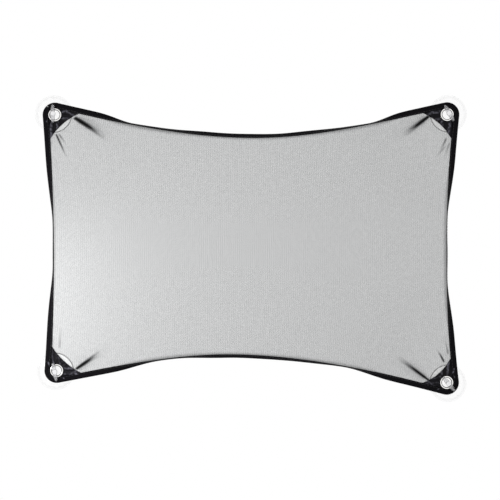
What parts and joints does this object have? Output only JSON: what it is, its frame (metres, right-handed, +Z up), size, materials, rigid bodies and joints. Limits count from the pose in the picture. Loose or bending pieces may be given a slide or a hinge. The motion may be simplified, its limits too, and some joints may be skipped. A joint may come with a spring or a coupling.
{
  "type": "car side window sunshade",
  "caption": "Rectangular sunshade of silver stretch mesh for a car's side window, bound in black tape and held on the glass by a clear suction cup at each corner.",
  "frame": {"origin": "middle of the four suction cups, on the plane of the window glass", "axes": "+X to the right and +Z up for someone in the car who faces the shade; +Y goes into the window, so the shade lies at negative Y"},
  "size_m": [0.4656, 0.0145, 0.3306],
  "materials": {
    "silver_mesh": "silver grey knitted stretch mesh",
    "black_tape": "black elastic binding tape, matt",
    "black_cloth": "black woven cloth with a soft sheen",
    "eyelet_metal": "bright nickel plate",
    "clear_vinyl": "clear soft PVC"
  },
  "bodies": {
    "root": {"mesh_panel": "silver_mesh", "edge_binding": "black_tape", "corner_patch_front_top_left": "black_cloth", "corner_patch_back_top_left": "black_cloth", "eyelet_top_left": "eyelet_metal", "eyelet_washer_top_left": "eyelet_metal", "suction_cup_top_left": "clear_vinyl", "corner_patch_front_top_right": "black_cloth", "corner_patch_back_top_right": "black_cloth", "eyelet_top_right": "eyelet_metal", "eyelet_washer_top_right": "eyelet_metal", "suction_cup_top_right": "clear_vinyl", "corner_patch_front_bottom_left": "black_cloth", "corner_patch_back_bottom_left": "black_cloth", "eyelet_bottom_left": "eyelet_metal", "eyelet_washer_bottom_left": "eyelet_metal", "suction_cup_bottom_left": "clear_vinyl", "corner_patch_front_bottom_right": "black_cloth", "corner_patch_back_bottom_right": "black_cloth", "eyelet_bottom_right": "eyelet_metal", "eyelet_washer_bottom_right": "eyelet_metal", "suction_cup_bottom_right": "clear_vinyl"}
  },
  "joints": []
}
